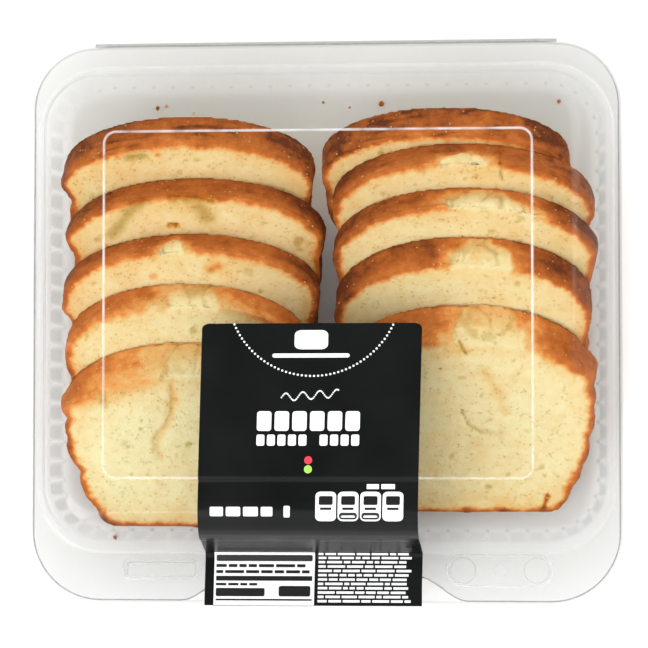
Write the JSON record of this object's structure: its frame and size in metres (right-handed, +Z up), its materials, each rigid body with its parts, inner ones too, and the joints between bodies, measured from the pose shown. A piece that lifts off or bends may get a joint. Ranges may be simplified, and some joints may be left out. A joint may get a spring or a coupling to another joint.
{
  "type": "sliced pound cake in a clear clamshell pack",
  "caption": "Clear hinged clamshell pack of sliced butter pound cake, its slices leaning in rows under a domed lid with a black label.",
  "frame": {"origin": "centre of the pack's footprint, on the surface that it stands on", "axes": "+Z up, +Y towards the hinge at the back, +X to the right when facing the label's side"},
  "size_m": [0.238, 0.2257, 0.0657],
  "materials": {
    "clear_plastic": "clear, glossy, thermoformed sheet",
    "label_film": "satin printed film",
    "cake": "soft, matt, fine-pored crumb with a browned crust"
  },
  "bodies": {
    "tray": {"tray": "clear_plastic", "label_front": "label_film", "slice_left_1": "cake", "slice_left_2": "cake", "slice_left_3": "cake", "slice_left_4": "cake", "slice_left_5": "cake", "slice_right_1": "cake", "slice_right_2": "cake", "slice_right_3": "cake", "slice_right_4": "cake", "slice_right_5": "cake"},
    "lid": {"lid": "clear_plastic", "label_top": "label_film"}
  },
  "joints": [
    {"name": "lid_hinge", "type": "hinge", "parent": "tray", "child": "lid", "pos_m": [0, 0.1125, 0.02815], "axis": [-1, 0, 0], "range_deg": [0, 160]}
  ]
}
